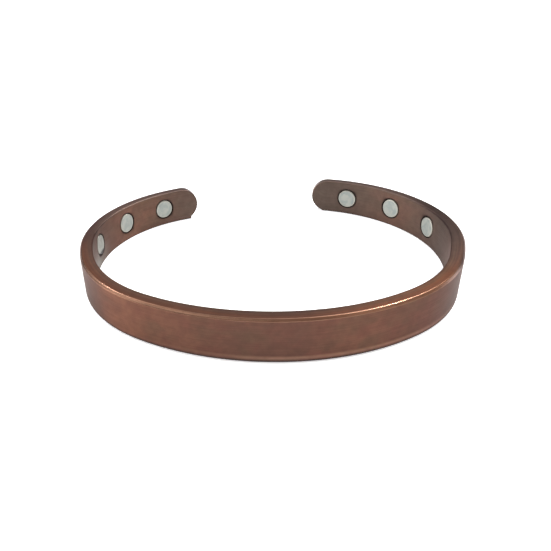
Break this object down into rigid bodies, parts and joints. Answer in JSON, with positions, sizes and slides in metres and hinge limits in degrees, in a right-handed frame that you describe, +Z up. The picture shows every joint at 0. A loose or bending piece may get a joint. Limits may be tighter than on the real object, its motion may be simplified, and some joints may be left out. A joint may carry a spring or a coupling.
{
  "type": "magnetic bracelet",
  "caption": "Open cuff bracelet for a wrist: a flat copper strip bent into an oval with rounded ends, with round disc magnets set into its inner wall near both ends.",
  "frame": {"origin": "on the surface that the cuff rests on, under the middle of its outline", "axes": "+X across the cuff's width, +Y from the closed front towards the opening between the ends, +Z up, across the strip's width and along the arm when worn"},
  "size_m": [0.0702, 0.059, 0.0074],
  "materials": {
    "copper": "satin copper, antiqued brown, polished by wear along its edges",
    "nickel_plate": "satin nickel plating with bright rims"
  },
  "bodies": {
    "root": {"cuff_band": "copper", "magnet_right_1": "nickel_plate", "magnet_right_2": "nickel_plate", "magnet_right_3": "nickel_plate", "magnet_left_1": "nickel_plate", "magnet_left_2": "nickel_plate", "magnet_left_3": "nickel_plate"}
  },
  "joints": []
}
